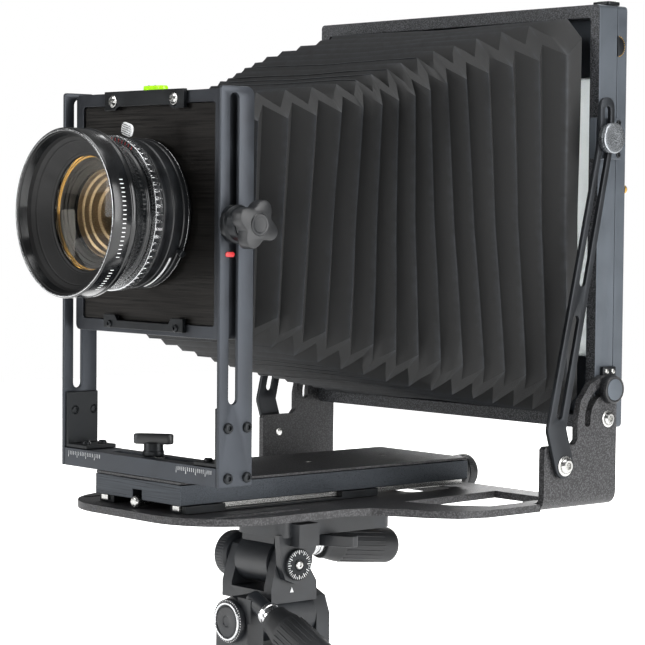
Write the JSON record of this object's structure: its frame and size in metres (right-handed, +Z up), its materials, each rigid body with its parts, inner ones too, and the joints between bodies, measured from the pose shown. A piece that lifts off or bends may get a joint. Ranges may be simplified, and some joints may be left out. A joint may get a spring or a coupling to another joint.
{
  "type": "large-format camera on tripod head",
  "caption": "Folding-bed bellows camera on a three-way tripod head, with geared focus, rise, shift, swing and tilts, a lens in a shutter and a sprung ground-glass back.",
  "frame": {"origin": "centre of the flat underside of the tripod head's base", "axes": "+Z up, the lens faces -Y at rest, +X to the right seen from behind the camera's lens, the side with the tilt dial"},
  "size_m": [0.3222, 0.3807, 0.4723],
  "materials": {
    "moulded": "satin moulded nylon",
    "wrinkle": "wrinkle powder coat",
    "anodised": "satin dark anodised",
    "slate": "satin light slate anodised",
    "black_metal": "black enamel",
    "bright": "polished",
    "fabric": "matte coated cloth",
    "lens_glass": "coated",
    "screen_glass": "ground",
    "level": "clear tinted"
  },
  "bodies": {
    "head_base": {"head_base": "moulded"},
    "pan": {"pan_body": "moulded"},
    "pan_lock": {"pan_lock_knob": "moulded"},
    "side_tilt": {"side_tilt_body": "moulded"},
    "side_handle": {"side_tilt_handle": "moulded"},
    "camera_bed": {"front_tilt_body": "moulded", "quick_release_plate": "moulded", "camera_screw": "bright", "bed_plate": "wrinkle", "guide_channel_right": "black_metal", "guide_channel_left": "black_metal", "screw_bearing": "black_metal"},
    "front_handle": {"front_tilt_handle": "moulded"},
    "counter_knob": {"counter_knob": "moulded"},
    "release_lever": {"release_lever": "moulded"},
    "focus_carriage": {"platform_body": "anodised", "platform_top": "wrinkle", "guide_rail_right": "bright", "guide_rail_left": "bright", "lead_nut": "bright"},
    "focus_screw": {"lead_screw": "bright", "focus_knob": "black_metal"},
    "slot_shoe": {"slot_shoe": "bright"},
    "clamp_knob": {"clamp_knob": "black_metal"},
    "front_standard": {"cross_bar": "anodised", "corner_bracket_right": "black_metal", "corner_bracket_left": "black_metal", "upright_right": "anodised", "upright_left": "anodised"},
    "rise_block": {"rise_collar_right": "black_metal", "rise_collar_left": "black_metal"},
    "front_knob_right": {"front_knob_right": "black_metal"},
    "front_knob_left": {"front_knob_left": "black_metal"},
    "lens_frame": {"lens_frame": "anodised", "lens_board": "black_metal", "board_rest": "black_metal", "bubble_level": "level", "shutter_body": "black_metal", "retaining_ring": "bright", "front_barrel": "black_metal", "front_glass": "lens_glass", "rear_barrel": "black_metal", "rear_glass": "lens_glass"},
    "board_lock": {"board_lock": "black_metal"},
    "speed_ring": {"speed_ring": "bright"},
    "aperture": {"aperture_lever": "black_metal", "iris_ring": "black_metal"},
    "cocking_lever": {"cocking_lever": "bright"},
    "rear_standard": {"rear_frame": "slate", "back_frame": "slate", "bellows": "fabric"},
    "strut_right": {"strut_right": "anodised"},
    "strut_left": {"strut_left": "anodised"},
    "strut_knob_right": {"strut_knob_right": "bright"},
    "strut_knob_left": {"strut_knob_left": "bright"},
    "tilt_knob_right": {"tilt_knob_right": "black_metal"},
    "tilt_knob_left": {"tilt_knob_left": "black_metal"},
    "glass_frame": {"glass_frame": "black_metal", "ground_glass": "screen_glass"},
    "back_latch": {"back_latch": "black_metal"}
  },
  "joints": [
    {"name": "head_pan", "type": "hinge", "parent": "head_base", "child": "pan", "pos_m": [0, 0, 0.012], "axis": [0, 0, 1], "continuous": true},
    {"name": "pan_lock_turn", "type": "hinge", "parent": "pan", "child": "pan_lock", "pos_m": [-0.04, 0, 0.0195], "axis": [1, 0, 0], "continuous": true},
    {"name": "side_tilt", "type": "hinge", "parent": "pan", "child": "side_tilt", "pos_m": [0, 0, 0.046], "axis": [0, 1, 0], "range_deg": [-30, 15]},
    {"name": "side_handle_turn", "type": "hinge", "parent": "pan", "child": "side_handle", "pos_m": [0.029, -0.031, 0.055], "axis": [0.9063, 0, -0.4226], "continuous": true},
    {"name": "front_tilt", "type": "hinge", "parent": "side_tilt", "child": "camera_bed", "pos_m": [0, 0, 0.084], "axis": [1, 0, 0], "range_deg": [-25, 30]},
    {"name": "front_handle_turn", "type": "hinge", "parent": "camera_bed", "child": "front_handle", "pos_m": [-0.002, 0.0332, 0.093], "axis": [0, 0.9945, -0.1045], "continuous": true},
    {"name": "counter_knob_turn", "type": "hinge", "parent": "side_tilt", "child": "counter_knob", "pos_m": [-0.042, 0, 0.084], "axis": [1, 0, 0], "continuous": true},
    {"name": "release_lever_swing", "type": "hinge", "parent": "camera_bed", "child": "release_lever", "pos_m": [0.017, 0.026, 0.1], "axis": [0, 0, 1], "range_deg": [0, 45], "stiffness_Nm_per_rad": 0.05},
    {"name": "focus_slide", "type": "slide", "parent": "camera_bed", "child": "focus_carriage", "axis": [0, -1, 0], "range_m": [0, 0.08], "deforming": ["bellows"]},
    {"name": "lead_screw_turn", "type": "hinge", "parent": "camera_bed", "child": "focus_screw", "pos_m": [0, 0.16, 0.1338], "axis": [0, 1, 0], "continuous": true},
    {"name": "swing", "type": "hinge", "parent": "focus_carriage", "child": "slot_shoe", "pos_m": [0, -0.1057, 0.1511], "axis": [0, 0, 1], "range_deg": [-12, 12], "deforming": ["bellows"]},
    {"name": "shift", "type": "slide", "parent": "slot_shoe", "child": "front_standard", "axis": [1, 0, 0], "range_m": [-0.028, 0.028], "deforming": ["bellows"]},
    {"name": "clamp_knob_turn", "type": "hinge", "parent": "slot_shoe", "child": "clamp_knob", "pos_m": [0, -0.1057, 0.17], "axis": [0, 0, 1], "continuous": true},
    {"name": "rise", "type": "slide", "parent": "front_standard", "child": "rise_block", "axis": [0, 0, 1], "range_m": [-0.04, 0.06], "deforming": ["bellows"]},
    {"name": "lens_tilt", "type": "hinge", "parent": "rise_block", "child": "lens_frame", "pos_m": [0, -0.1082, 0.3176], "axis": [1, 0, 0], "range_deg": [-20, 20], "deforming": ["bellows"]},
    {"name": "front_knob_right_turn", "type": "hinge", "parent": "rise_block", "child": "front_knob_right", "pos_m": [0.105, -0.1082, 0.3176], "axis": [1, 0, 0], "continuous": true},
    {"name": "front_knob_left_turn", "type": "hinge", "parent": "rise_block", "child": "front_knob_left", "pos_m": [-0.105, -0.1082, 0.3176], "axis": [1, 0, 0], "continuous": true},
    {"name": "board_lock_slide", "type": "slide", "parent": "lens_frame", "child": "board_lock", "axis": [0, 0, 1], "range_m": [0, 0.006]},
    {"name": "speed_ring_turn", "type": "hinge", "parent": "lens_frame", "child": "speed_ring", "pos_m": [0, -0.14, 0.3236], "axis": [0, 1, 0], "range_deg": [-60, 60]},
    {"name": "aperture_turn", "type": "hinge", "parent": "lens_frame", "child": "aperture", "pos_m": [0, -0.13, 0.3236], "axis": [0, 1, 0], "range_deg": [-25, 25]},
    {"name": "cocking_lever_swing", "type": "hinge", "parent": "lens_frame", "child": "cocking_lever", "pos_m": [0, -0.138, 0.3236], "axis": [0, 1, 0], "range_deg": [0, 20], "stiffness_Nm_per_rad": 0.05},
    {"name": "rear_tilt", "type": "hinge", "parent": "camera_bed", "child": "rear_standard", "pos_m": [0, 0.173, 0.1845], "axis": [1, 0, 0], "range_deg": [-5, 12], "deforming": ["bellows"]},
    {"name": "strut_right_swing", "type": "hinge", "parent": "camera_bed", "child": "strut_right", "pos_m": [0.152, 0.1264, 0.155], "axis": [1, 0, 0], "range_deg": [-6, 14]},
    {"name": "strut_left_swing", "type": "hinge", "parent": "camera_bed", "child": "strut_left", "pos_m": [-0.152, 0.1264, 0.155], "axis": [1, 0, 0], "range_deg": [-6, 14]},
    {"name": "strut_knob_right_turn", "type": "hinge", "parent": "rear_standard", "child": "strut_knob_right", "pos_m": [0.158, 0.1644, 0.3775], "axis": [1, 0, 0], "continuous": true},
    {"name": "strut_knob_left_turn", "type": "hinge", "parent": "rear_standard", "child": "strut_knob_left", "pos_m": [-0.158, 0.1644, 0.3775], "axis": [1, 0, 0], "continuous": true},
    {"name": "tilt_knob_right_turn", "type": "hinge", "parent": "rear_standard", "child": "tilt_knob_right", "pos_m": [0.154, 0.173, 0.205], "axis": [1, 0, 0], "continuous": true},
    {"name": "tilt_knob_left_turn", "type": "hinge", "parent": "rear_standard", "child": "tilt_knob_left", "pos_m": [-0.154, 0.173, 0.205], "axis": [1, 0, 0], "continuous": true},
    {"name": "glass_slide", "type": "slide", "parent": "rear_standard", "child": "glass_frame", "axis": [0, 1, 0], "range_m": [0, 0.01], "stiffness_N_per_m": 600},
    {"name": "back_latch_slide", "type": "slide", "parent": "rear_standard", "child": "back_latch", "axis": [0, -1, 0], "range_m": [0, 0.006]}
  ],
  "couplings": [
    {"joint": "lead_screw_turn", "follows": "focus_slide", "rad_per_m": 785.4},
    {"joint": "strut_right_swing", "follows": "rear_tilt", "ratio": 0.826},
    {"joint": "strut_left_swing", "follows": "rear_tilt", "ratio": 0.826}
  ]
}
